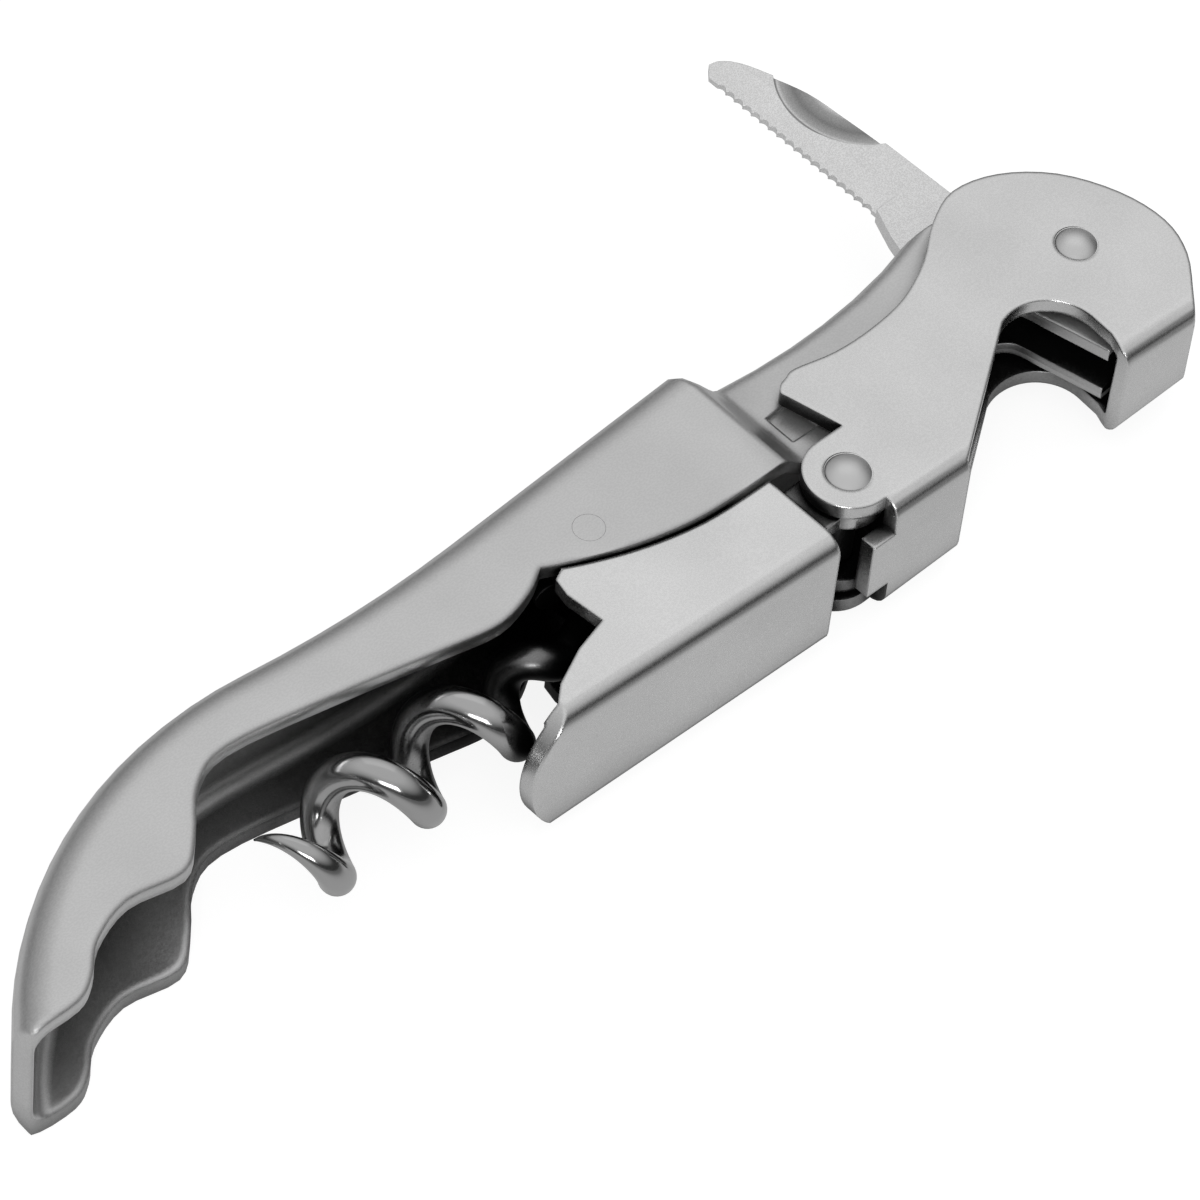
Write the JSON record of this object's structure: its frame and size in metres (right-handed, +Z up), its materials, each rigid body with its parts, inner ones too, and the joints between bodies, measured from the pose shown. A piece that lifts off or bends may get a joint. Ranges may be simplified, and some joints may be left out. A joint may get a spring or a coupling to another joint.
{
  "type": "double-lever waiter's corkscrew",
  "caption": "Double-lever waiter's corkscrew in satin steel with a folding worm, hinged boot levers, a cap notch and a serrated foil knife.",
  "frame": {"origin": "bottom centre of the tool's box as it lies on its side", "axes": "+Z up, +X from the claw to the head, +Y from the worm side to the spine"},
  "size_m": [0.1173, 0.0449, 0.014],
  "materials": {
    "handle": "satin",
    "levers": "satin",
    "worm": "polished",
    "knife": "bead blasted",
    "rivets": "satin"
  },
  "bodies": {
    "handle": {"handle_body": "handle", "worm_pin": "rivets", "worm_bush_near": "rivets", "worm_bush_far": "rivets", "knife_washer_near": "rivets", "knife_washer_far": "rivets"},
    "first_lever": {"first_lever": "levers", "head_rivet": "rivets", "hinge_rivet": "rivets"},
    "second_lever": {"second_lever": "levers"},
    "worm": {"worm": "worm"},
    "knife": {"knife": "knife"}
  },
  "joints": [
    {"name": "first_lever_pivot", "type": "hinge", "parent": "handle", "child": "first_lever", "pos_m": [0.05148, -0.01146, 0.007], "axis": [0, 0, 1], "range_deg": [0, 95]},
    {"name": "second_lever_hinge", "type": "hinge", "parent": "first_lever", "child": "second_lever", "pos_m": [0.02118, -0.01627, 0.007], "axis": [0, 0, 1], "range_deg": [0, 55]},
    {"name": "worm_pivot", "type": "hinge", "parent": "handle", "child": "worm", "pos_m": [0.00238, -0.00756, 0.007], "axis": [0, 0, 1], "range_deg": [0, 95]},
    {"name": "knife_pivot", "type": "hinge", "parent": "handle", "child": "knife", "pos_m": [0.05148, -0.01146, 0.007], "axis": [0, 0, 1], "range_deg": [-50, 65]}
  ],
  "couplings": [
    {"joint": "worm_pivot", "follows": "first_lever_pivot", "ratio": 1}
  ]
}
